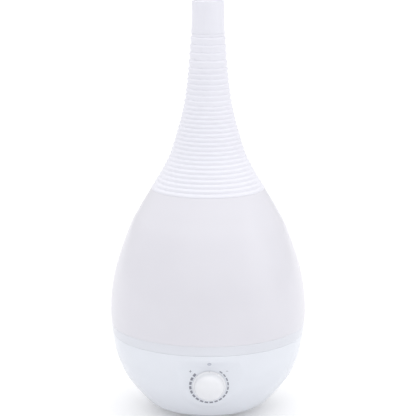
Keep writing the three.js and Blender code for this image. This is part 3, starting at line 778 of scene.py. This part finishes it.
def rib_heights():
    """Heights of the ribs' grooves, from the bottom up."""
    heights = [FIRST_RIB]
    for count, pitch in RIB_RUNS:
        for _ in range(count):
            heights.append(heights[-1] - pitch)
    return heights[::-1]


def ribbed_neck():
    points = [(radius(NECK_LOW), NECK_LOW)]
    for z in rib_heights():
        points += [(radius(z + rise) + out, z + rise) for rise, out in RIB_SECTION]
    points.append((radius(NECK_HIGH), NECK_HIGH))
    points += outline(NECK_HIGH, NECK_LOW, 40, NECK_WALL)
    return turned("ribbed_neck", points, 144, round_size=0.3)


def mist_nozzle():
    """The nozzle, closed by a recessed plate with an outlet off its centre."""
    points = [
        (0, NOZZLE_PLATE_LOW), (NOZZLE_BORE_R, NOZZLE_PLATE_LOW), (NOZZLE_BORE_R, 405.2),
        (SPIGOT_INNER_R, 403.5), (SPIGOT_INNER_R, SPIGOT_LOW), (SPIGOT_R, SPIGOT_LOW), (SPIGOT_R, NOZZLE_LOW),
    ]
    points += outline(NOZZLE_LOW, OVERALL_HEIGHT, 12)
    points += [(NOZZLE_LIP_R, OVERALL_HEIGHT), (NOZZLE_BORE_R, NOZZLE_PLATE_HIGH), (0, NOZZLE_PLATE_HIGH)]
    nozzle = turned("nozzle", points, 96, round_size=0.2)
    return cut(nozzle, rod(OUTLET_R, 425, 440, OUTLET_AT))


finish_piece(ribbed_neck(), "neck", "neck_white", NECK_WHITE, "mist_neck")
finish_piece(mist_nozzle(), "nozzle", "neck_white", NECK_WHITE, "mist_nozzle")

# ---------- floor, light and camera, in metres ----------

FLOOR_SIZE = 8.0
FLOOR_GLOW = 0.18
FLOOR_DROP = 0.0002  # the floor lies this far below the feet
SKY_LOW = 0.6  # the sky's strength at the horizon and overhead
SKY_HIGH = 1.8
PITCH = math.radians(12)
YAW = math.radians(0.8)
FOCAL_PIXELS = 1700.0
FRAME_PIXELS = 416.0
SENSOR_MM = 36
DISTANCE = 1.79775
TARGET = Vector((0, 0, 0.2176))


def pale_floor():
    bm = bmesh.new()
    bmesh.ops.create_grid(bm, x_segments=8, y_segments=8, size=FLOOR_SIZE)
    floor = add_mesh("floor", bm)
    floor.location = (0, 0, -FLOOR_DROP)
    material = plastic("floor_white", (220, 220, 221), 0.8, variation=0.002)
    shader = next(n for n in material.node_tree.nodes if n.type == "BSDF_PRINCIPLED")
    shader.inputs["Emission Color"].default_value = (1, 1, 1, 1)
    shader.inputs["Emission Strength"].default_value = FLOOR_GLOW
    floor.data.materials.append(material)


def studio_sky():
    """White light from all round, stronger from above than from the sides."""
    world = bpy.data.worlds.new("studio")
    world.use_nodes = True
    nodes, links = world.node_tree.nodes, world.node_tree.links
    direction = nodes.new("ShaderNodeTexCoord")
    split = nodes.new("ShaderNodeSeparateXYZ")
    strength = nodes.new("ShaderNodeMapRange")
    strength.inputs["To Min"].default_value = SKY_LOW
    strength.inputs["To Max"].default_value = SKY_HIGH
    links.new(direction.outputs["Generated"], split.inputs["Vector"])
    links.new(split.outputs["Z"], strength.inputs["Value"])
    links.new(strength.outputs["Result"], nodes["Background"].inputs["Strength"])
    nodes["Background"].inputs["Color"].default_value = (1, 1, 1, 1)
    bpy.context.scene.world = world


def soft_light(name, place, aim, size, power):
    data = bpy.data.lights.new(name, "AREA")
    data.shape = "RECTANGLE"
    data.size, data.size_y = size
    data.energy = power
    lamp = bpy.data.objects.new(name, data)
    lamp.location = place
    direction = Vector(aim) - Vector(place)
    lamp.rotation_euler = direction.to_track_quat("-Z", "Y").to_euler()
    bpy.context.scene.collection.objects.link(lamp)


def front_camera():
    data = bpy.data.cameras.new("camera")
    data.sensor_width = SENSOR_MM
    data.lens = SENSOR_MM * FOCAL_PIXELS / FRAME_PIXELS
    data.clip_end = 50
    camera = bpy.data.objects.new("camera", data)
    sight = Vector((-math.sin(YAW) * math.cos(PITCH), -math.cos(YAW) * math.cos(PITCH), math.sin(PITCH)))
    camera.location = TARGET + sight * DISTANCE
    camera.rotation_euler = (TARGET - camera.location).to_track_quat("-Z", "Y").to_euler()
    bpy.context.scene.collection.objects.link(camera)
    bpy.context.scene.camera = camera


pale_floor()
studio_sky()
soft_light("strip", (1.5, -0.55, 0.65), (0, 0, 0.16), (0.9, 1.3), 1.9)
front_camera()
bpy.context.scene.view_settings.view_transform = "Standard"
